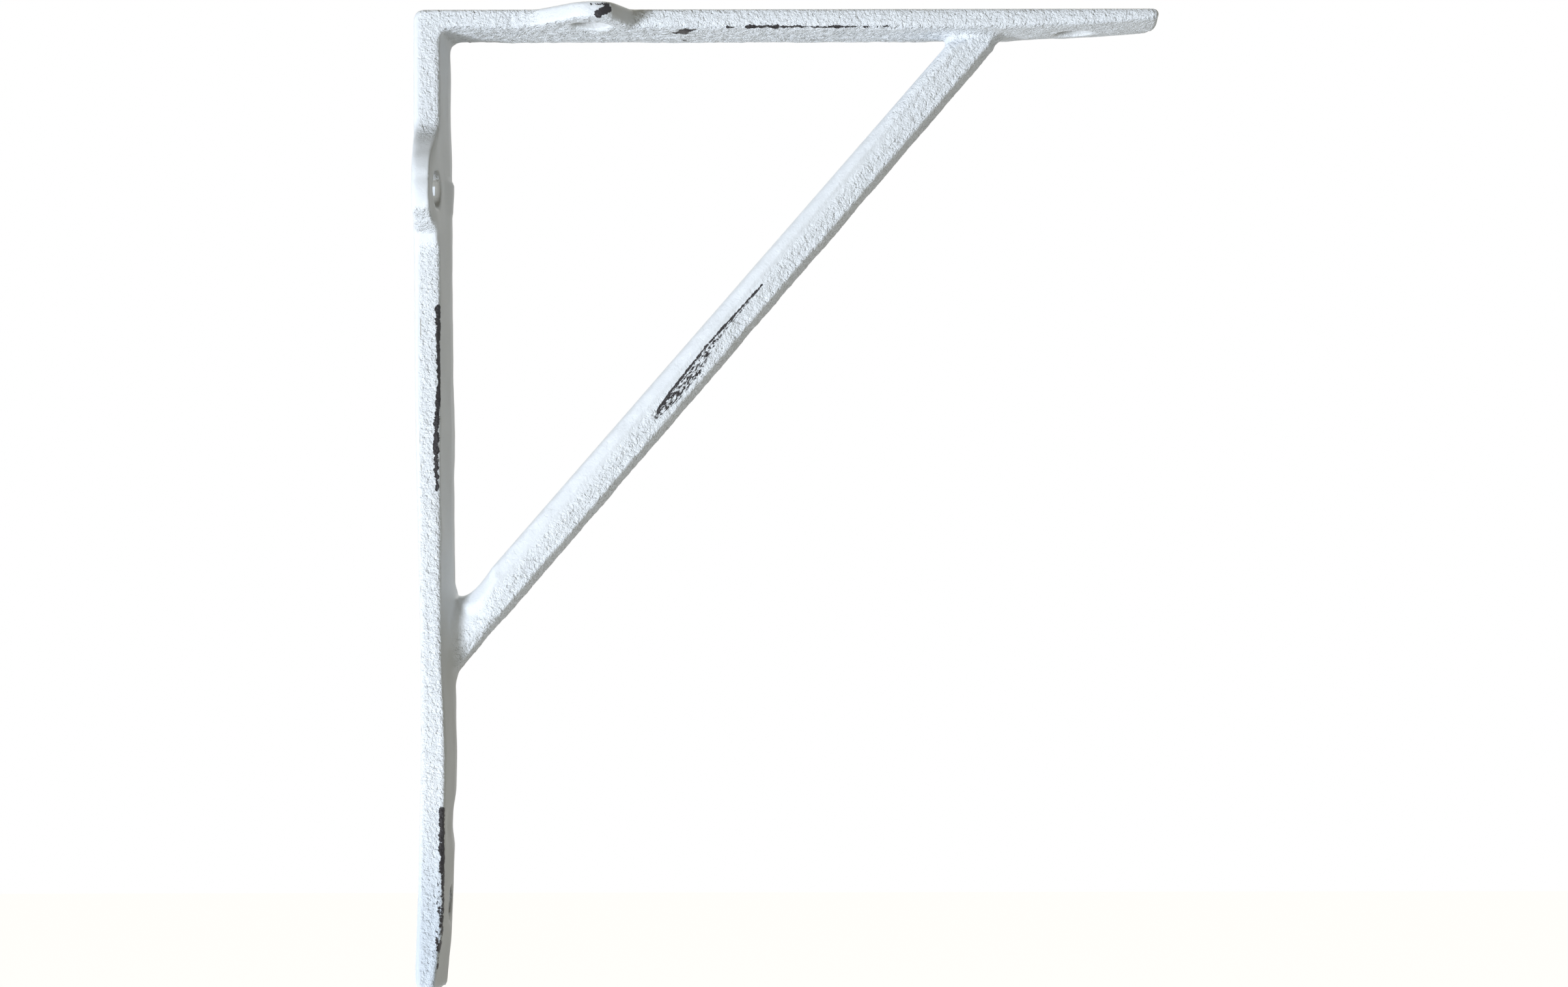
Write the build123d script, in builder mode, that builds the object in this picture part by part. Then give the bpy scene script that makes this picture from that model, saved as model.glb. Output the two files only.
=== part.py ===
"""Cast iron shelf bracket, one casting.

Two arms meet at a square corner, a diagonal brace ties them together, and each arm
has a lug beside it for its first screw. The second screw of each arm goes through
the middle of its tip.

Drawn with x out from the wall under the shelf, z up and y across the width: the wall
plane is x = 0, the shelf plane is z = 0 and the mould parting plane is y = 0. At the end
the casting is raised, so that its own origin is on the wall face, level with the upper
wall screw.
"""

import os
from math import radians, tan

from build123d import *

# Whole casting
reach = 141.0
drop = 185.3
arm_width = 19.2
corner_round = 1.8
edge_round = 0.6

# Arm thickness along the side faces, and the crown that the draft adds at the middle
shelf_thickness = 3.7
wall_thickness = 5.0
crown = 0.7

# Shelf arm tip
shelf_taper_length = 40.0
shelf_tip_thickness = 2.1
shelf_tip_round = 0.9
tip_draft = 0.5

# Wall arm: flat behind the corner, a little hollow behind the foot of the brace
hollow_start = 46.0
hollow_slope_depth = 0.75
hollow_slope_above_tip = 82.3
tip_pad = 5.3
swell_above_brace = 26.0
swell_below_brace = 9.0
swell = 0.3
foot_length = 17.3
foot_thickness = 4.6
wall_tip_thickness = 2.6
wall_tip_crown = 1.4
wall_tip_round = 0.9
wall_tip_heel_round = 1.4
inner_corner_round = 1.8

# Brace: where its middle line meets the inner faces, its section and its blends
brace_from_wall = 106.9
brace_below_shelf = 121.0
brace_top_width = 6.9
brace_foot_width = 8.0
brace_half_depth = 5.0
brace_draft = 11.0
brace_peak = 0.9
peak_root = 0.1
brace_peak_shift_top = -0.65
brace_peak_shift_foot = -0.1
brace_overrun = 8.0
blend_top_inner = 1.5
blend_top_outer = 2.5
blend_foot_inner = 2.2
blend_foot_outer = 4.5
blend_reach = 15.0
blend_reach_tip = 8.5
brace_root = 1.5
buried = 0.3

# Lugs and screw holes
shelf_lug_from_corner = 33.6
wall_lug_from_corner = 34.3
shelf_lug_setback = 0.2
wall_lug_setback = 0.8
lug_hole_beyond_side = 2.0
lug_length = 10.8
lug_thinning = 0.3
lug_base_corner_side = 11.2
lug_base_tip_side = 7.9
lug_end_corner_side = 1.8
lug_end_tip_side = 4.3
lug_round_corner_side = 6.0
lug_round_tip_side = 3.4
lug_blend_corner_side = 3.5
lug_blend_tip_side = 0.9
lug_strip_margin = 3.0
screw_hole = 6.9
tip_hole_inset = 15.8

half_width = arm_width / 2
shelf_crest = shelf_thickness + crown
wall_crest = wall_thickness + crown
lug_hole_y = -(half_width + lug_hole_beyond_side)
lug_end = -(half_width + lug_length)


def round_corner(sketch, x, z, radius):
    """Round the sketch's corner that is nearest to the point x, z."""
    fillet(sketch.vertices().sort_by_distance((x, z))[0], radius)


def arms_outline(plane, added, wall_tip_added, cut):
    """Side face of both arms on a plane.

    Their inner faces are moved inward by added, or by wall_tip_added at the wall arm's
    tip, and their tips are shortened by cut.
    """
    shelf_inner = -(shelf_thickness + added)
    wall_inner = wall_thickness + added
    tip_x = reach - cut
    tip_z = -(drop - cut)
    shelf_tip_inner = -(shelf_tip_thickness + added)
    wall_tip_inner = wall_tip_thickness + wall_tip_added
    with BuildSketch(plane) as outline:
        with BuildLine():
            top = Line((0, 0), (tip_x, 0))
            Line(top @ 1, (tip_x, shelf_tip_inner))
            under = Line((wall_inner, shelf_inner), (reach - shelf_taper_length, shelf_inner))
            TangentArc(under @ 1, (tip_x, shelf_tip_inner), tangent=under % 1)
            inner = Line(under @ 0, (wall_inner, swell_above_brace - brace_below_shelf))
            swell_end = (wall_inner + swell, -brace_below_shelf - swell_below_brace)
            middle = TangentArc(inner @ 1, swell_end, tangent=inner % 1)
            foot_top = (foot_thickness + added, foot_length - drop)
            lower = TangentArc(middle @ 1, foot_top, tangent=middle % 1)
            foot = TangentArc(lower @ 1, (wall_tip_inner, tip_z), tangent=lower % 1)
            base = Line(foot @ 1, (0, tip_z))
            seat = Line(base @ 1, (0, tip_pad - drop))
            flat = Line((0, 0), (0, -hollow_start))
            slope_end = (hollow_slope_depth, hollow_slope_above_tip - drop)
            slope = TangentArc(flat @ 1, slope_end, tangent=flat % 1)
            TangentArc(slope @ 1, seat @ 1, tangent=slope % 1)
        make_face()
        round_corner(outline, 0, 0, corner_round)
        round_corner(outline, tip_x, 0, shelf_tip_round)
        round_corner(outline, tip_x, shelf_tip_inner, shelf_tip_round)
        round_corner(outline, wall_tip_inner, tip_z, wall_tip_round)
        round_corner(outline, 0, tip_z, wall_tip_heel_round)
        round_corner(outline, wall_inner, shelf_inner, inner_corner_round)
    return outline.sketch


# Both arms, thickest and longest at the parting plane, with the side edges rounded
with BuildPart() as arms:
    side_outline = arms_outline(Plane.XZ.offset(half_width), 0, 0, tip_draft)
    middle_outline = arms_outline(Plane.XZ, crown, wall_tip_crown, 0)
    loft([side_outline, middle_outline], ruled=True)
    mirror(about=Plane.XZ)
    side_faces = arms.faces().filter_by(Plane.XZ)
    fillet(side_faces.edges(), edge_round)


# The brace's middle line, and the direction across it, away from the corner
brace_foot = Vector(wall_crest, 0, -brace_below_shelf)
brace_top = Vector(brace_from_wall, 0, -shelf_crest)
along = (brace_top - brace_foot).normalized()
across = Vector(along.Z, 0, -along.X)
brace_start = brace_foot - along * brace_overrun
brace_finish = brace_top + along * brace_overrun


def side_point(point):
    """The x and z of a point, as a sketch on the parting plane takes them."""
    return (point.X, point.Z)


def brace_section(point, width, peak_shift):
    """Section square to the brace, with its near and far faces rising to a peak."""
    half_flat = width / 2 - brace_half_depth * tan(radians(brace_draft)) - peak_root
    half_depth = brace_half_depth - peak_root
    half_peak = brace_half_depth + brace_peak
    with BuildSketch(Plane(origin=point, x_dir=across, z_dir=along)) as section:
        with BuildLine():
            Polyline(
                (-half_flat, -half_depth),
                (peak_shift, -half_peak),
                (half_flat, -half_depth),
                (half_flat, half_depth),
                (peak_shift, half_peak),
                (-half_flat, half_depth),
                close=True,
            )
        make_face()
    return section.sketch


# Brace with drafted sides, blended into the arms, and cut off inside them
with BuildPart() as brace:
    with BuildSketch(Plane.XZ) as brace_side:
        with BuildLine():
            Polyline(
                side_point(brace_start - across * brace_foot_width / 2),
                side_point(brace_finish - across * brace_top_width / 2),
                side_point(brace_finish + across * brace_top_width / 2),
                side_point(brace_start + across * brace_foot_width / 2),
                close=True,
            )
        make_face()
        with Locations((brace_from_wall + blend_reach_tip, buried - shelf_crest)):
            Rectangle(2 * blend_reach, shelf_crest, align=(Align.MAX, Align.MIN))
        with Locations((wall_crest - buried, -brace_below_shelf)):
            Rectangle(wall_crest, 2 * blend_reach, align=(Align.MAX, Align.CENTER))
        with Locations(((reach + brace_root) / 2, -(drop + brace_root) / 2)):
            Rectangle(reach - brace_root, drop - brace_root, mode=Mode.INTERSECT)
        top_spread = brace_top_width / 2 / across.X
        foot_spread = brace_foot_width / 2 / across.Z
        round_corner(brace_side, brace_from_wall - top_spread, -shelf_crest, blend_top_inner)
        round_corner(brace_side, brace_from_wall + top_spread, -shelf_crest, blend_top_outer)
        round_corner(brace_side, wall_crest, -brace_below_shelf - foot_spread, blend_foot_inner)
        round_corner(brace_side, wall_crest, -brace_below_shelf + foot_spread, blend_foot_outer)
    extrude(amount=brace_half_depth, both=True, taper=brace_draft)
    loft(
        [
            brace_section(brace_start, brace_foot_width, brace_peak_shift_foot),
            brace_section(brace_finish, brace_top_width, brace_peak_shift_top),
        ],
        ruled=True,
    )
    with BuildSketch(Plane.XZ) as brace_space:
        with Locations(((reach + brace_root) / 2, -(drop + brace_root) / 2)):
            Rectangle(reach - brace_root, drop - brace_root)
    extrude(amount=half_width, both=True, mode=Mode.INTERSECT)


def lug(from_corner, thickness, setback):
    """Lug beside the shelf arm, a little thinner at its end than at the arm's side.

    Its outer face leans in, from nothing at the arm's middle to setback at the lug's end.
    """
    strip_start = from_corner - lug_base_corner_side - lug_strip_margin
    strip_end = from_corner + lug_base_tip_side + lug_strip_margin
    with BuildPart() as body:
        with BuildSketch(Plane.XY) as plan:
            with BuildLine():
                Polyline(
                    (strip_start, 0),
                    (strip_start, -half_width),
                    (from_corner - lug_base_corner_side, -half_width),
                    (from_corner - lug_end_corner_side, lug_end),
                    (from_corner + lug_end_tip_side, lug_end),
                    (from_corner + lug_base_tip_side, -half_width),
                    (strip_end, -half_width),
                    (strip_end, 0),
                    close=True,
                )
            make_face()
            round_corner(plan, from_corner - lug_base_corner_side, -half_width, lug_blend_corner_side)
            round_corner(plan, from_corner + lug_base_tip_side, -half_width, lug_blend_tip_side)
            round_corner(plan, from_corner - lug_end_corner_side, lug_end, lug_round_corner_side)
            round_corner(plan, from_corner + lug_end_tip_side, lug_end, lug_round_tip_side)
        extrude(amount=-2 * thickness)
        inner_face = Plane(
            origin=(0, -half_width, -thickness), x_dir=(1, 0, 0), z_dir=(0, lug_thinning, lug_length)
        )
        outer_face = Plane(origin=(0, 0, 0), x_dir=(1, 0, 0), z_dir=(0, -setback, -lug_end))
        split(bisect_by=inner_face, keep=Keep.TOP)
        split(bisect_by=outer_face, keep=Keep.BOTTOM)
        beyond_side = body.edges().filter_by_position(Axis.Y, lug_end - buried, buried - half_width)
        fillet(beyond_side.filter_by(Axis.Z, reverse=True), edge_round)
    return body.part


# The casting: arms, brace and lugs run into one, then the four screw holes
with BuildPart() as bracket:
    add(arms.part)
    add(brace.part)
    add(lug(shelf_lug_from_corner, shelf_thickness, shelf_lug_setback))
    mirror(
        lug(wall_lug_from_corner, wall_thickness, wall_lug_setback),
        about=Plane(origin=(0, 0, 0), z_dir=(1, 0, 1)),
    )
    with BuildSketch(Plane.XY) as shelf_holes:
        with Locations((shelf_lug_from_corner, lug_hole_y), (reach - tip_hole_inset, 0)):
            Circle(screw_hole / 2)
    extrude(amount=-2 * shelf_crest, mode=Mode.SUBTRACT)
    with BuildSketch(Plane.YZ) as wall_holes:
        with Locations((lug_hole_y, -wall_lug_from_corner), (0, tip_hole_inset - drop)):
            Circle(screw_hole / 2)
    extrude(amount=2 * wall_crest, mode=Mode.SUBTRACT)

bracket.part.position = (0, 0, wall_lug_from_corner)
bracket.part.label = "bracket"
os.makedirs("parts", exist_ok=True)
export_step(bracket.part, "parts/bracket.step")
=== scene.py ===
"""Looks of a cast iron shelf bracket, painted white and rubbed through at its edges.

Lengths on the object are in millimetres measured from its outer corner, where the wall
plane and the shelf plane meet, unless a comment says otherwise. The near side is the one
with the lugs, towards -Y, and the far side is the plain one, towards +Y.
"""

from math import radians

import bmesh
import bpy
from mathutils import Euler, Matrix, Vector


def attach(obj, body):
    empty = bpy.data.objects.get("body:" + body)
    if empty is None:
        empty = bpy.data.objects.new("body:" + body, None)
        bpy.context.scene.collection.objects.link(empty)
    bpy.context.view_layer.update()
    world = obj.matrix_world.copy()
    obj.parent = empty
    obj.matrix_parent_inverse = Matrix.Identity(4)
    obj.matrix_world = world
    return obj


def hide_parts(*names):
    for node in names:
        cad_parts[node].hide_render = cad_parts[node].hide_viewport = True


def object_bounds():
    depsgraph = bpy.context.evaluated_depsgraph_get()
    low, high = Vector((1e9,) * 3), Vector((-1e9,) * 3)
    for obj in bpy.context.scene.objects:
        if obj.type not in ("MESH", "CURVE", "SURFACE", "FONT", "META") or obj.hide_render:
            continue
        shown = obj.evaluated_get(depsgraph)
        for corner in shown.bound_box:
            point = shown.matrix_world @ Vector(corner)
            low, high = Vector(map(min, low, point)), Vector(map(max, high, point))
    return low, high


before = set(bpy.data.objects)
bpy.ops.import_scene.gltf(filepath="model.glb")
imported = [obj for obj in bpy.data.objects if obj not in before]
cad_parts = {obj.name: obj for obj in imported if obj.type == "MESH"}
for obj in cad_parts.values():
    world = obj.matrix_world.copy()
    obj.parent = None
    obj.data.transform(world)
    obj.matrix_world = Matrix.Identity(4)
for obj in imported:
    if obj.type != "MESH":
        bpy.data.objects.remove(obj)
cad_lo, cad_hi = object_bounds()


# The casting. One piece of grey iron poured in sand: two arms, a brace and two lugs.
# Its skin keeps the grain of the sand, the slow waves of a hand-rammed mould, and a few
# flaws of the pour, all softened by thick paint.

MM = 0.001
corner_above_origin = cad_hi.z / MM
skin_voxel = 0.5 * MM
merge_distance = 0.001 * MM

# The middles of the screw holes: y and z on the wall arm, x and y on the shelf arm
upper_wall_hole = (-11.6, -34.3)
lower_wall_hole = (0.0, -169.5)
shelf_lug_hole = (33.6, -11.6)
shelf_tip_hole = (125.2, 0.0)


class Field:
    """A node's output in a Python expression. Each operator adds a Math node."""

    def __init__(self, sheet, socket):
        self.sheet = sheet
        self.socket = socket

    def math(self, operation, *others):
        return self.sheet.node("ShaderNodeMath", dict(operation=operation), [self, *others])

    def __add__(self, other):
        return self.math("ADD", other)

    def __sub__(self, other):
        return self.math("SUBTRACT", other)

    def __mul__(self, other):
        return self.math("MULTIPLY", other)

    def __radd__(self, other):
        return self.math("ADD", other)

    def __rmul__(self, other):
        return self.math("MULTIPLY", other)

    def __rsub__(self, other):
        return self.sheet.node("ShaderNodeMath", dict(operation="SUBTRACT"), [other, self])

    def __abs__(self):
        return self.math("ABSOLUTE")

    def at_least(self, other):
        return self.math("MAXIMUM", other)

    def at_most(self, other):
        return self.math("MINIMUM", other)

    def rise(self, low, high):
        """0 below low, 1 above high, smooth between. Falls instead where low is above high."""
        if low > high:
            return 1.0 - self.rise(high, low)
        ends = {"From Min": low, "From Max": high}
        return self.sheet.node(
            "ShaderNodeMapRange", dict(interpolation_type="SMOOTHSTEP"), {"Value": self, **ends}
        )


class Sheet:
    """A node tree that adds any node from its type, its settings and its sockets."""

    def __init__(self, tree):
        self.tree = tree

    def node(self, kind, settings=(), sockets=(), output=0):
        """Sockets and the output are given by name, or by number among those in use."""
        made = self.tree.nodes.new(kind)
        for name, value in dict(settings).items():
            setattr(made, name, value)
        in_use = [socket for socket in made.inputs if socket.enabled]
        named = {socket.name: socket for socket in reversed(in_use)}
        pairs = sockets.items() if isinstance(sockets, dict) else enumerate(sockets)
        for name, value in pairs:
            socket = in_use[name] if isinstance(name, int) else named[name]
            if isinstance(value, Field):
                self.tree.links.new(value.socket, socket)
            else:
                socket.default_value = value
        given = [socket for socket in made.outputs if socket.enabled]
        if isinstance(output, str):
            given = [socket for socket in given if socket.name == output]
            output = 0
        return Field(self, given[output]) if given else None

    def vector(self, operation, *sockets):
        return self.node("ShaderNodeVectorMath", dict(operation=operation), sockets)

    def scaled(self, vector, factor):
        return self.node(
            "ShaderNodeVectorMath", dict(operation="SCALE"), {"Vector": vector, "Scale": factor}
        )

    def split(self, vector):
        made = self.node("ShaderNodeSeparateXYZ", (), [vector])
        return [Field(self, socket) for socket in made.socket.node.outputs]

    def noise(self, place, size, detail=2.0, roughness=0.5, stretch=(1, 1, 1)):
        """Noise from -1 to 1 whose waves are about size long."""
        pulled = self.vector("MULTIPLY", place, tuple(s / size for s in stretch))
        sockets = {"Vector": pulled, "Scale": 1.0, "Detail": detail, "Roughness": roughness}
        return self.node("ShaderNodeTexNoise", (), sockets) * 2.0 - 1.0


def blank_of(node, name):
    """A merged copy of a node's triangles, as one closed skin."""
    skin = bpy.data.meshes.new(name)
    mesh = bmesh.new()
    mesh.from_mesh(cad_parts[node].data)
    bmesh.ops.remove_doubles(mesh, verts=mesh.verts, dist=merge_distance)
    mesh.to_mesh(skin)
    mesh.free()
    blank = bpy.data.objects.new(name, skin)
    bpy.context.scene.collection.objects.link(blank)
    return blank


casting_tree = bpy.data.node_groups.new("cast skin", "GeometryNodeTree")
casting_tree.is_modifier = True
surface = casting_tree.interface
surface.new_socket("Blank", in_out="INPUT", socket_type="NodeSocketGeometry")
casting_sizes = dict(
    wave_height=0.25,
    grain_height=0.13,
    far_lean=0.35,
    near_lean=0.5,
    lug_thinning=0.5,
    lug_fullness=2.4,
    brace_swell=0.3,
    brace_squareness=0.8,
    foot_hollow=1.0,
    drip_height=0.55,
    dent_depth=0.42,
    ripple_height=0.8,
    flow_height=0.35,
)
casting_inputs = {
    name: surface.new_socket(name, in_out="INPUT", socket_type="NodeSocketFloat")
    for name in casting_sizes
}
paint_input = surface.new_socket("Paint", in_out="INPUT", socket_type="NodeSocketMaterial")
surface.new_socket("Casting", in_out="OUTPUT", socket_type="NodeSocketGeometry")

skin = Sheet(casting_tree)
entry = skin.node("NodeGroupInput").socket.node
size = {name: Field(skin, entry.outputs[name]) for name in casting_sizes}
from_corner = (0, 0, -corner_above_origin)
place_m = skin.node("GeometryNodeInputPosition")
place = skin.vector("ADD", skin.scaled(place_m, 1 / MM), from_corner)
x, y, z = skin.split(place)
normal = skin.node("GeometryNodeInputNormal")
face_x, face_y, face_z = skin.split(normal)

# The ridge of the brace in the side view, and how far a place lies to its lower right
brace_foot = Vector((5.7, 0, -121.0))
brace_top = Vector((106.9, 0, -4.4))
brace_along = (brace_top - brace_foot).normalized()
brace_across = Vector((brace_along.z, 0, -brace_along.x))
beyond_ridge = skin.vector(
    "DOT_PRODUCT", skin.vector("SUBTRACT", place, tuple(brace_foot)), tuple(brace_across)
)


def squared_distance(across, up, spot):
    """The squared distance from a spot, in the plane of the two coordinates given."""
    return (across - spot[0]) * (across - spot[0]) + (up - spot[1]) * (up - spot[1])


def near(across, up, spot, radius):
    """1 within half the radius of a spot, 0 beyond the radius."""
    return squared_distance(across, up, spot).rise(radius * radius, 0.25 * radius * radius)


def relaxed(places, rounds, weight):
    """The places, each moved towards the mean of its neighbours, a number of times."""
    return skin.node(
        "GeometryNodeBlurAttribute",
        dict(data_type="FLOAT_VECTOR"),
        {"Value": places, "Iterations": rounds, "Weight": weight},
    )


# Iron and paint fill the corners where the brace runs into the wall arm, most the upper
# one: the skin is relaxed there, and a little everywhere
on_wall_arm = x.rise(7.2, 6.2)
on_shelf_arm = z.rise(-6.4, -5.4)
on_brace = (1.0 - on_wall_arm) * (1.0 - on_shelf_arm)
brace_corners = near(x, z, (6.5, -121.0), 12.0) * abs(y).rise(8.4, 7.4)
above_ridge = beyond_ridge.rise(1.0, -2.0)
upper_corner = near(x, z, (8.5, -112.5), 9.0) * abs(y).rise(8.4, 6.8) * above_ridge
softened = relaxed(place_m, 40, brace_corners)
softened = relaxed(softened, 90, upper_corner)
softened = relaxed(softened, 2, 1.0)
blank = Field(skin, entry.outputs["Blank"])
moved = skin.node("GeometryNodeSetPosition", (), {"Geometry": blank, "Position": softened})

near_face = face_y.rise(-0.3, -0.75)
under_face = face_z.rise(-0.4, -0.8)
inner_face = face_x.rise(0.3, 0.7)
far_face = face_y.rise(0.3, 0.7)
wall_and_shelf_faces = face_x.rise(-0.4, -0.8).at_least(face_z.rise(0.4, 0.8))

# How much of the sand's grain shows: about 1 on the near side, more underneath, and next
# to none along the wall, by the wall lug, above the brace's ridge, on the flanks of the
# lugs, in the brace's corners and round the holes of the shelf arm
by_wall_lug = abs(z + 34.8).rise(10.2, 8.6) * on_wall_arm
wall_near = x.rise(0.8, 1.8) * (1.0 - by_wall_lug * 0.95)
brace_near = (beyond_ridge.rise(-1.2, 0.4) * 0.75).at_least(x.rise(84.0, 98.0) * 0.8) + 0.08
near_grain = 1.0 - on_wall_arm * (1.0 - wall_near) - on_brace * (1.0 - brace_near)
under_grain = 1.5 - y.rise(4.0, 8.5) * 1.1
grained = near_face * near_grain + under_face * under_grain + far_face * 0.5
lug_flank = y.rise(-10.4, -11.6) * (1.0 - under_face)
grained = grained * (1.0 - lug_flank * 0.8) + 0.08
grained = grained * (1.0 - brace_corners * face_x.rise(-0.2, 0.2) * on_wall_arm)
by_lug_hole = near(x, y, shelf_lug_hole, 5.2)
by_tip_hole = near(x, y, shelf_tip_hole, 5.0)
grained = grained * (1.0 - by_lug_hole.at_least(by_tip_hole) * on_shelf_arm * 0.85)
marked = skin.node(
    "GeometryNodeStoreNamedAttribute",
    dict(data_type="FLOAT", domain="POINT"),
    {"Geometry": moved, "Name": "grained", "Value": grained},
)

# The mould's slow waves, and the sand's grain, coarser under the shelf arm
waves = skin.noise(place, 9.0, detail=1.0) * size["wave_height"]
waves = waves * (1.0 - wall_and_shelf_faces)
coarser = under_face * on_shelf_arm * x.rise(112.0, 88.0) * 1.8 + 1.0
grain = skin.noise(place, 1.1, detail=1.0) * size["grain_height"] * grained * coarser

# A drip of iron beside the wall lug, and a dent above the lower tip
wall_inner = x.rise(9.0, 7.8) * inner_face
drip_run = z.rise(-30.9, -32.0) * z.rise(-38.4, -36.8) * (z.rise(-37.0, -32.5) * 0.5 + 0.5)
drip = drip_run * abs(y - 2.0).rise(8.0, 2.0) * wall_inner * size["drip_height"]
dent_run = z.rise(-148.0, -153.0) * z.rise(-160.0, -155.5)
dent = dent_run * y.rise(-8.5, -4.0) * wall_inner * size["dent_depth"]

# Ripples beside the corner, and flow marks under the shelf arm's tip
ripple = skin.noise(place, 1.3, detail=0.0, stretch=(1.0, 0.3, 0.25)) * size["ripple_height"]
ripple = ripple * near_face * abs(x - 19.6).rise(3.4, 1.4) * z.rise(-4.4, -2.6)
flow = skin.noise(place, 2.0, detail=0.0, stretch=(0.5, 0.35, 1.0)) * size["flow_height"]
flow = flow * under_face * abs(x - 116.0).rise(9.0, 4.0)

# The wall arm gets thicker in steps down its far and its near half, and its lug is thinner
# at its end
far_steps = z.rise(-20.0, -28.0) + z.rise(-62.0, -80.0) * 0.9 + z.rise(-165.0, -178.0)
far_lean = far_steps * size["far_lean"]
near_lean = (z.rise(-120.0, -140.0) + z.rise(-152.0, -174.0)) * size["near_lean"]
lean = far_lean + (near_lean - far_lean) * y.rise(5.0, -9.0)
lean = (lean - y.rise(-11.0, -18.0) * size["lug_thinning"]) * inner_face * on_wall_arm

# The brace is a little wider at its lower side, and square, not drafted, at its upper side
faces_down_brace = skin.vector("DOT_PRODUCT", normal, tuple(brace_across))
lower_side = faces_down_brace.rise(0.2, 0.6) * on_brace
upper_side = faces_down_brace.rise(-0.15, -0.5) * on_brace * y.rise(1.0, -5.0)
swell = lower_side * size["brace_swell"] + upper_side * size["brace_squareness"]
lift = waves + grain + drip - dent + ripple + flow + lean + swell

# The brace's near side sinks towards the wall arm
by_foot = x.rise(15.0, 8.0) * near(x, z, (9.0, -120.0), 20.0)
sunk = near_face * on_brace.at_least(x.rise(5.8, 6.6)) * by_foot

# The lug on the wall arm is fuller than the one on the shelf arm, most on its upper flank
upper_flank = z.rise(-21.0, -26.5) * z.rise(-33.5, -28.0)
lower_flank = z.rise(-38.8, -41.5) * z.rise(-45.5, -42.0) * 0.8
fuller = upper_flank.at_least(lower_flank) * y.rise(-8.9, -9.6) * on_wall_arm
fuller = fuller * size["lug_fullness"]
towards_far = sunk * size["foot_hollow"] - fuller

# Nothing moves past the casting's box
raised = skin.vector("ADD", place_m, skin.scaled(normal, lift * MM))
raised = skin.vector("ADD", raised, skin.scaled((0, 1, 0), towards_far * MM))
kept = skin.vector("MINIMUM", skin.vector("MAXIMUM", raised, tuple(cad_lo)), tuple(cad_hi))
moved = skin.node("GeometryNodeSetPosition", (), {"Geometry": marked, "Position": kept})
smooth = skin.node("GeometryNodeSetShadeSmooth", (), {"Geometry": moved})
real = skin.node("GeometryNodeRealizeInstances", (), {"Geometry": smooth})
painted = skin.node(
    "GeometryNodeSetMaterial",
    (),
    {"Geometry": real, "Material": Field(skin, entry.outputs["Paint"])},
)
skin.node("NodeGroupOutput", (), [painted])


# The finish. White paint, thick and slightly blue, brushed over a near-black iron skin
# and rubbed through where hands and tools catch it: along the inner edges, on a lug's
# end and down the ridge of the brace.

paint = bpy.data.materials.new("painted_iron")
paint.use_nodes = True
paint.node_tree.nodes.clear()
coat = Sheet(paint.node_tree)
object_place = coat.node("ShaderNodeTexCoord", (), (), "Object")
face = coat.node("ShaderNodeTexCoord", (), (), "Normal")
place = coat.node(
    "ShaderNodeMapping",
    (),
    {"Vector": object_place, "Location": from_corner, "Scale": (1 / MM, 1 / MM, 1 / MM)},
)
x, y, z = coat.split(place)
face_x, face_y, face_z = coat.split(face)

# The grain again, as a relief too fine for the skin itself, with small pits
grained = coat.node("ShaderNodeAttribute", dict(attribute_name="grained"), (), "Fac")
fine = coat.noise(place, 0.45, detail=3.0, roughness=0.6)
coarse = coat.noise(place, 1.2, detail=2.0)
pits = coat.noise(place, 0.8, detail=1.0).rise(0.12, 0.42)
skin_height = (fine * 0.17 + coarse * 0.18 - pits * 0.12) * grained


def rubbed(start, end, start_width, end_width):
    """How deep a point lies inside a rubbed streak, in millimetres. Negative is outside."""
    run = Vector(end) - Vector(start)
    away = coat.vector("SUBTRACT", place, start)
    along = coat.vector("DOT_PRODUCT", away, tuple(run / run.length_squared))
    share = along.at_least(0.0).at_most(1.0)
    sideways = coat.vector("SUBTRACT", away, coat.scaled(tuple(run), share))
    distance = coat.vector("LENGTH", sideways)
    return share * (end_width - start_width) + start_width - distance


def deepest(streaks):
    """How deep a point lies inside the streak that holds it best."""
    depth = streaks[0]
    for streak in streaks[1:]:
        depth = depth.at_least(streak)
    return depth


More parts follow.
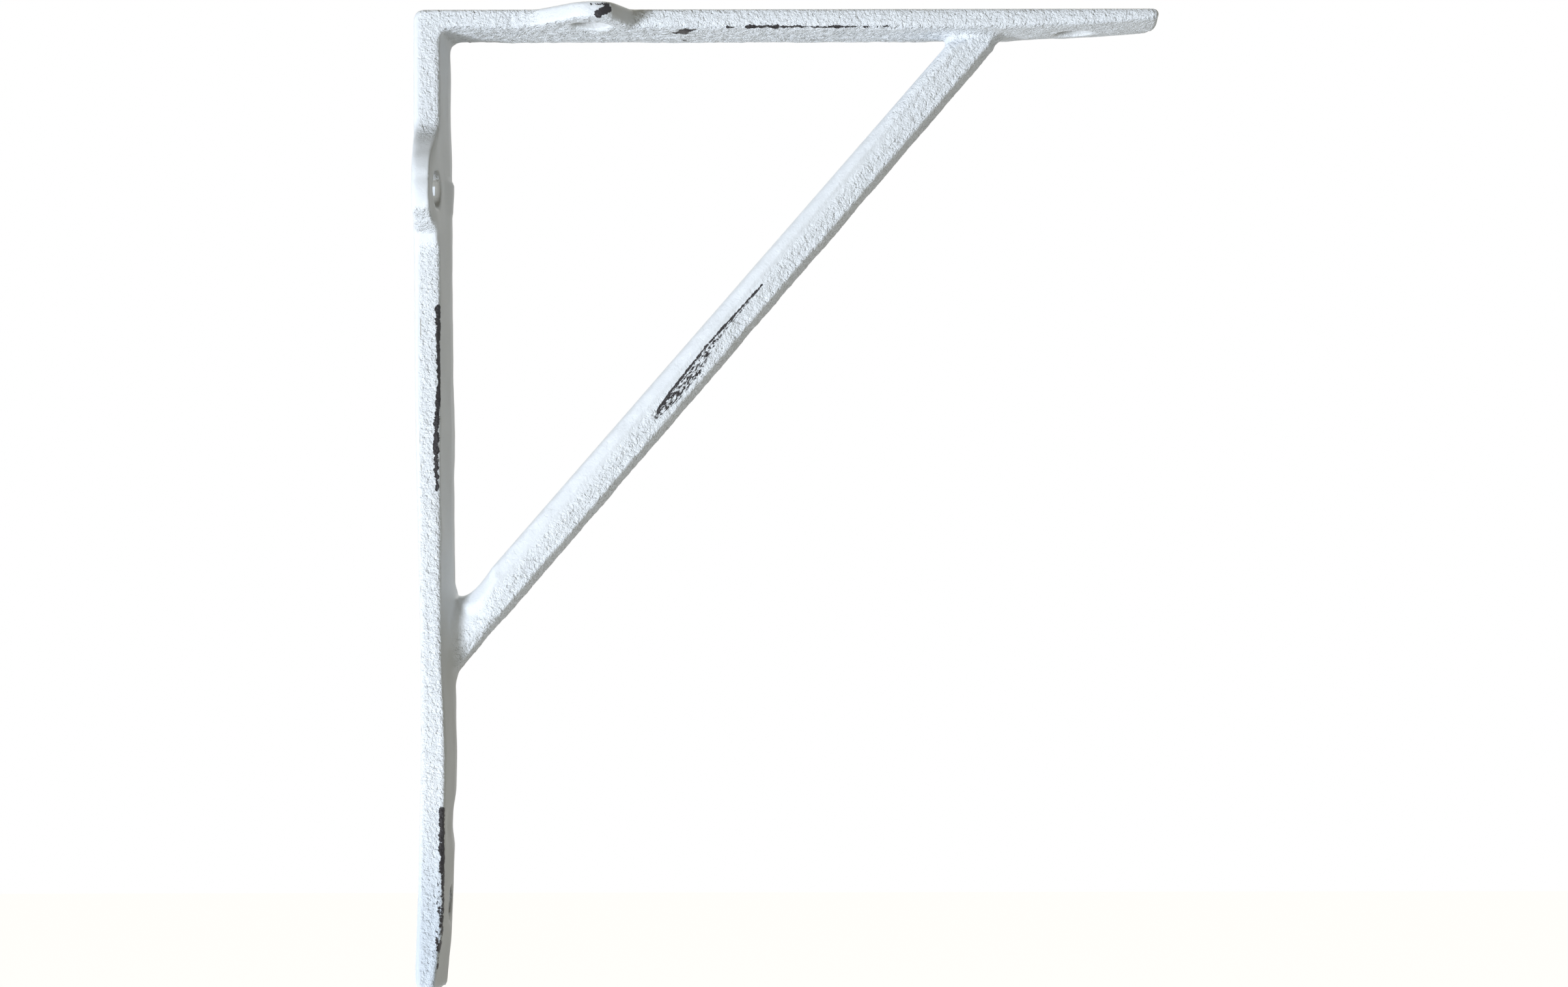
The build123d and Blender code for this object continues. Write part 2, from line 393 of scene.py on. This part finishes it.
# Rubbed edges and spots: the wall arm's inner edge above the brace and towards the tip,
# the shelf arm's lower edge, two spots under that arm, and the end of its lug
ragged = coat.noise(place, 1.3, detail=4.0, roughness=0.75)
edge_streaks = [
    rubbed((4.65, -9.35, -56.2), (4.7, -9.35, -63.5), 0.55, 0.5),
    rubbed((4.75, -9.3, -63.5), (4.75, -9.3, -74.5), 0.44, 0.44),
    rubbed((4.55, -9.35, -74.5), (4.1, -9.5, -82.0), 0.4, 0.55),
    rubbed((4.1, -9.5, -82.0), (4.3, -9.5, -90.5), 0.6, 0.3),
    rubbed((5.2, -9.4, -150.8), (5.15, -9.4, -162.0), 0.6, 0.5),
    rubbed((5.05, -9.3, -162.0), (4.7, -9.2, -174.0), 0.68, 0.64),
    rubbed((4.5, -9.2, -174.0), (3.7, -9.0, -180.6), 0.72, 0.64),
    rubbed((62.8, -9.3, -3.45), (73.9, -9.3, -3.45), 0.38, 0.32),
    rubbed((73.9, -9.3, -3.45), (90.0, -9.3, -3.45), 0.28, 0.1),
    rubbed((59.2, -9.3, -3.45), (60.4, -9.3, -3.45), 0.2, 0.2),
    rubbed((49.2, -5.2, -4.0), (50.8, -6.5, -3.93), 0.7, 1.0),
    rubbed((50.8, -7.0, -3.9), (52.4, -8.2, -3.8), 1.1, 0.9),
    rubbed((50.5, 1.0, -4.3), (50.9, 0.9, -4.3), 0.4, 0.45),
    rubbed((34.0, -20.0, -0.8), (37.2, -19.7, -1.0), 0.1, 0.6),
    rubbed((35.6, -19.9, -2.6), (37.2, -19.6, -1.6), 0.85, 0.75),
]
bare_edge = (deepest(edge_streaks) + ragged * 0.9).rise(0.0, 0.05)

ridge_y = -5.7


def on_ridge(along, across):
    """A point of the brace's near side, from its foot along its ridge and to the lower right."""
    spot = brace_foot + brace_along * along + brace_across * across
    return (spot.x, ridge_y, spot.z)


# The rubbed stretch of the brace: scratched through inside, all bare along its upper left
ridge_streaks = [
    rubbed(on_ridge(91.0, 0.0), on_ridge(77.0, 0.05), 0.2, 0.6),
    rubbed(on_ridge(77.0, 0.05), on_ridge(70.5, 0.95), 0.6, 1.4),
    rubbed(on_ridge(70.5, 0.95), on_ridge(65.0, 1.15), 1.4, 1.3),
    rubbed(on_ridge(65.0, 1.15), on_ridge(59.6, 1.15), 1.3, 0.75),
]
ridge_lines = [
    rubbed(on_ridge(91.5, -0.1), on_ridge(76.0, -0.5), 0.16, 0.24),
    rubbed(on_ridge(76.0, -0.5), on_ridge(65.0, 0.0), 0.22, 0.2),
    rubbed(on_ridge(65.0, 0.0), on_ridge(59.5, 0.55), 0.2, 0.1),
]
brace_slope = radians(49.0)
brace_place = coat.node(
    "ShaderNodeVectorRotate",
    dict(rotation_type="AXIS_ANGLE"),
    {"Vector": place, "Axis": (0, 1, 0), "Angle": brace_slope},
)
streaky = coat.noise(brace_place, 0.36, detail=3.0, roughness=0.7, stretch=(0.35, 1.0, 1.0))
scratched = (deepest(ridge_streaks) + ragged * 0.6).rise(0.0, 0.3)
scratched = scratched * (streaky - 0.03).rise(-0.06, 0.06)
cleared = (deepest(ridge_lines) + ragged * 0.45).rise(-0.02, 0.05)
bare = bare_edge.at_least(scratched).at_least(cleared)

# Small pits that the paint never filled, and a hairline where the brush stopped, along
# the wall side
near_face = face_y.rise(-0.25, -0.7)
specks = coat.noise(place, 1.25, detail=0.0).rise(0.86, 0.9) * near_face
hair_wobble = coat.noise(place, 6.0, detail=2.0, stretch=(0, 0, 1))
hair_gaps = coat.noise(place, 7.0, detail=2.0, stretch=(0, 0, 1))
hair_away = abs(x - hair_wobble * 0.7 - 1.35)
hairline = hair_away.rise(0.16, 0.05) * hair_gaps.rise(0.05, 0.25) * near_face
hairline = hairline * z.rise(-52.0, -60.0) * z.rise(-160.0, -150.0)
thin = (hairline * 0.9).at_least(specks * 0.6)

screw_hole_radius = 3.5
painted_rim = 0.3


def bored(across, up, middle):
    """1 inside a hole, given the two coordinates square to its axis and their middle."""
    rim = screw_hole_radius + painted_rim
    return squared_distance(across, up, middle).rise(rim ** 2, screw_hole_radius ** 2)


# Painted shade in the holes: grey on the walls of the wall arm's holes that face the front lamp,
# and half as much on their upper walls, but for a painted glint, a thin sliver left white as
# painted light in the upper hole; a lighter share of the same grey on the walls of the shelf
# arm's holes.
painted_glint = abs(z + 34.2).rise(1.0, 0.7) * y.rise(-9.2, -8.8) * x.rise(3.98, 3.86)
lamp_facing_side = face_y.rise(-0.35, -0.8).at_least(face_z.rise(-0.15, -0.6) * 0.5)
painted_hole_shade = bored(y, z, upper_wall_hole) * (1.0 - painted_glint) * lamp_facing_side
painted_hole_shade = painted_hole_shade.at_least(bored(y, z, lower_wall_hole) * lamp_facing_side * 0.8)
inside = abs(face_z).rise(0.7, 0.3)
for hole in (shelf_lug_hole, shelf_tip_hole):
    painted_hole_shade = painted_hole_shade.at_least(bored(x, y, hole) * inside * 0.4)

blue_white = (0.77, 0.815, 0.87, 1.0)
bright_white = (0.82, 0.86, 0.905, 1.0)
# Painted shade for the near faces at the wall arm's tip
tip_shade_white = (0.60, 0.665, 0.745, 1.0)
worn_grey = (0.42, 0.42, 0.40, 1.0)
# Painted shade for the insides of the holes
hole_shade_grey = (0.36, 0.355, 0.33, 1.0)
dark_iron = (0.006, 0.005, 0.007, 1.0)
pale_iron = (0.035, 0.032, 0.036, 1.0)


def mixed(share, first, second):
    """A colour between two others."""
    colours = {"Factor": share, "A": first, "B": second}
    return coat.node("ShaderNodeMix", dict(data_type="RGBA"), colours)


# The white is mottled, and darker at the wall arm's tip: painted shade that evens out the low
# fill lamp's stronger light there
mottle = coat.noise(place, 9.0, detail=3.0)
white = mixed(mottle * 0.5 + 0.5, blue_white, bright_white)
white = mixed(z.rise(-145.0, -176.0) * near_face, white, tip_shade_white)
wear_and_hole_shade = mixed(thin, white, worn_grey)
# Painted shade in the holes, laid over the paint and its marks
wear_and_hole_shade = mixed(painted_hole_shade, wear_and_hole_shade, hole_shade_grey)
iron = mixed(fine * 0.5 + 0.5, dark_iron, pale_iron)
colour = mixed(bare, wear_and_hole_shade, iron)
roughness = 0.62 - bare * 0.17 + fine * 0.05
height = skin_height - bare * 0.12 - thin * 0.03
bump = coat.node("ShaderNodeBump", (), {"Strength": 1.0, "Distance": MM, "Height": height})
shader = coat.node(
    "ShaderNodeBsdfPrincipled",
    (),
    {"Base Color": colour, "Roughness": roughness, "Normal": bump, "Specular IOR Level": 0.35},
)
coat.node("ShaderNodeOutputMaterial", (), {"Surface": shader})

casting = blank_of("bracket", "casting")
remesh = casting.modifiers.new("even skin", "REMESH")
remesh.mode = "VOXEL"
remesh.voxel_size = skin_voxel
remesh.use_smooth_shade = True
dressing = casting.modifiers.new("cast skin", "NODES")
dressing.node_group = casting_tree
for name, value in casting_sizes.items():
    dressing[casting_inputs[name].identifier] = value
dressing[paint_input.identifier] = paint
finished = bpy.data.meshes.new_from_object(
    casting.evaluated_get(bpy.context.evaluated_depsgraph_get())
)
casting.modifiers.clear()
casting.data = finished
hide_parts("bracket")
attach(casting, "root")


# The studio. A pale floor well below the bracket, a pale surround that lights it evenly,
# a soft lamp from the front left, a weak one low in front for the undersides, and one high
# behind for the top and the far side.


def in_photo_view(sheet):
    """1 for rays that show the background: seen straight, mirrored or through glass."""
    rays = sheet.node("ShaderNodeLightPath").socket.node
    kinds = ["Is Camera Ray", "Is Glossy Ray", "Is Transmission Ray"]
    straight, mirrored, through = [Field(sheet, rays.outputs[kind]) for kind in kinds]
    return straight.at_least(mirrored).at_least(through)


# The floor's half width and its depth below the bracket, in metres
floor_half = 4.0
floor_drop = 0.5
floor_z = cad_lo.z - floor_drop
signs = [(-1, -1), (1, -1), (1, 1), (-1, 1)]
corners = [(floor_half * a, floor_half * b, floor_z) for a, b in signs]
floor_mesh = bpy.data.meshes.new("floor")
floor_mesh.from_pydata(corners, [], [(0, 1, 2, 3)])
floor = bpy.data.objects.new("floor", floor_mesh)
bpy.context.scene.collection.objects.link(floor)
pale = bpy.data.materials.new("pale floor")
pale.use_nodes = True
pale.node_tree.nodes.clear()
ground = Sheet(pale.node_tree)
floor_white = (0.7, 0.7, 0.68, 1.0)
floor_glow = 0.85
matt = ground.node("ShaderNodeBsdfDiffuse", (), {"Color": floor_white})
glow = ground.node("ShaderNodeEmission", (), {"Strength": in_photo_view(ground) * floor_glow})
both = ground.node("ShaderNodeAddShader", (), [matt, glow])
ground.node("ShaderNodeOutputMaterial", (), {"Surface": both})
floor_mesh.materials.append(pale)

world = bpy.data.worlds.new("surround")
world.use_nodes = True
world.node_tree.nodes.clear()
air = Sheet(world.node_tree)
even_light = (0.214, 0.2, 0.157, 1.0)
backdrop_white = (1.0, 1.0, 1.0, 1.0)
surround = air.node(
    "ShaderNodeMix",
    dict(data_type="RGBA"),
    {"Factor": in_photo_view(air), "A": even_light, "B": backdrop_white},
)
backdrop = air.node("ShaderNodeBackground", (), {"Color": surround, "Strength": 1.0})
air.node("ShaderNodeOutputWorld", (), {"Surface": backdrop})
bpy.context.scene.world = world

# Each lamp's direction from the bracket's middle, its distance and width in metres, its
# power in watts and its colour
middle = Vector((70.5, 0, -92.6 + corner_above_origin)) * MM
lamps = [
    ("front lamp", (-0.61, -0.76, -0.16), 1.6, 0.36, 23.0, (0.875, 0.925, 1.0)),
    ("low fill", (-0.35, -0.45, -0.82), 0.55, 0.3, 0.75, (0.9, 0.94, 1.0)),
    ("back light", (0.0, 0.6, 0.8), 1.6, 0.8, 10.0, (1.0, 0.965, 0.9)),
]
for name, direction, distance, across, watts, tint in lamps:
    lamp = bpy.data.lights.new(name, "AREA")
    lamp.shape = "DISK"
    lamp.size = across
    lamp.energy = watts
    lamp.color = tint
    stand = bpy.data.objects.new(name, lamp)
    towards = Vector(direction).normalized()
    stand.location = middle + towards * distance
    stand.rotation_euler = towards.to_track_quat("Z", "Y").to_euler()
    bpy.context.scene.collection.objects.link(stand)

# The camera, level and square to the side of the bracket, with the photograph's small tilt
photo_width = 2408
focal_pixels = 4730
viewpoint = Vector((69.7, -589.6, -91.35 + corner_above_origin)) * MM
small_tilt = radians(0.1)
view = bpy.data.cameras.new("camera")
view.sensor_width = 36.0
view.sensor_fit = "HORIZONTAL"
view.lens = view.sensor_width * focal_pixels / photo_width
camera = bpy.data.objects.new("camera", view)
camera.location = viewpoint
camera.rotation_euler = Euler((radians(90), small_tilt, 0), "XYZ")
bpy.context.scene.collection.objects.link(camera)
bpy.context.scene.camera = camera
bpy.context.scene.view_settings.view_transform = "Standard"
